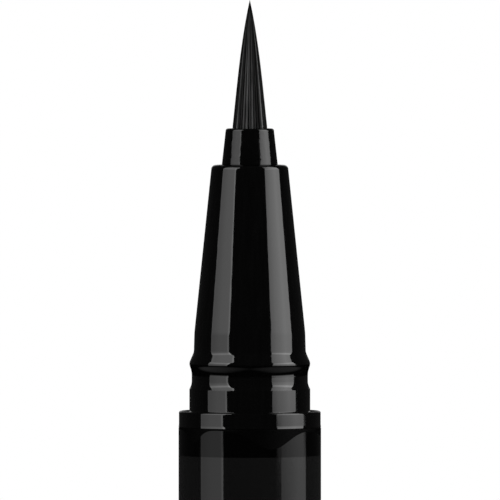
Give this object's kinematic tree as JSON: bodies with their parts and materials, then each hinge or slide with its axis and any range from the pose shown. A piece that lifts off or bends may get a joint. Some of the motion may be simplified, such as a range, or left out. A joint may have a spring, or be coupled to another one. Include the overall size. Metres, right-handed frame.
{
  "type": "liquid eyeliner pen",
  "caption": "Round pen-shaped cosmetic applicator with a pointed fibre brush, a push-on cap taken off and stood beside it, a finned ink feed and a mixing ball inside.",
  "frame": {"origin": "centre of the flat face of the tail, on the pen's axis", "axes": "+Z along the pen from tail to brush point; +X from the pen to its cap; -Y towards the camera of the picture"},
  "size_m": [0.03, 0.01, 0.1331],
  "materials": {
    "satin_black": "satin black moulded polypropylene, gloss band at the mouth",
    "gloss_black": "polished black moulded plastic",
    "brush_filament": "fine black polyester filaments",
    "wick_fibre": "bonded polyester fibre",
    "feed_plastic": "natural moulded plastic",
    "seal_rubber": "black nitrile rubber",
    "ball_steel": "polished stainless steel",
    "liner_plastic": "natural polyethylene"
  },
  "bodies": {
    "pen": {"barrel": "satin_black", "tail_plug": "satin_black", "nose_section": "gloss_black", "brush_holder": "gloss_black", "brush_tuft": "brush_filament", "feed_rod": "wick_fibre", "collector": "feed_plastic", "collector_seal": "seal_rubber"},
    "ball": {"mixing_ball": "ball_steel"},
    "cap": {"cap_shell": "satin_black", "inner_cap": "liner_plastic"}
  },
  "joints": [
    {"name": "ball_travel", "type": "slide", "parent": "pen", "child": "ball", "axis": [0, 0, 1], "range_m": [0, 0.0682]},
    {"name": "cap_lift", "type": "slide", "parent": "pen", "child": "cap", "axis": [0, 0, 1], "range_m": [0, 0.14]}
  ]
}
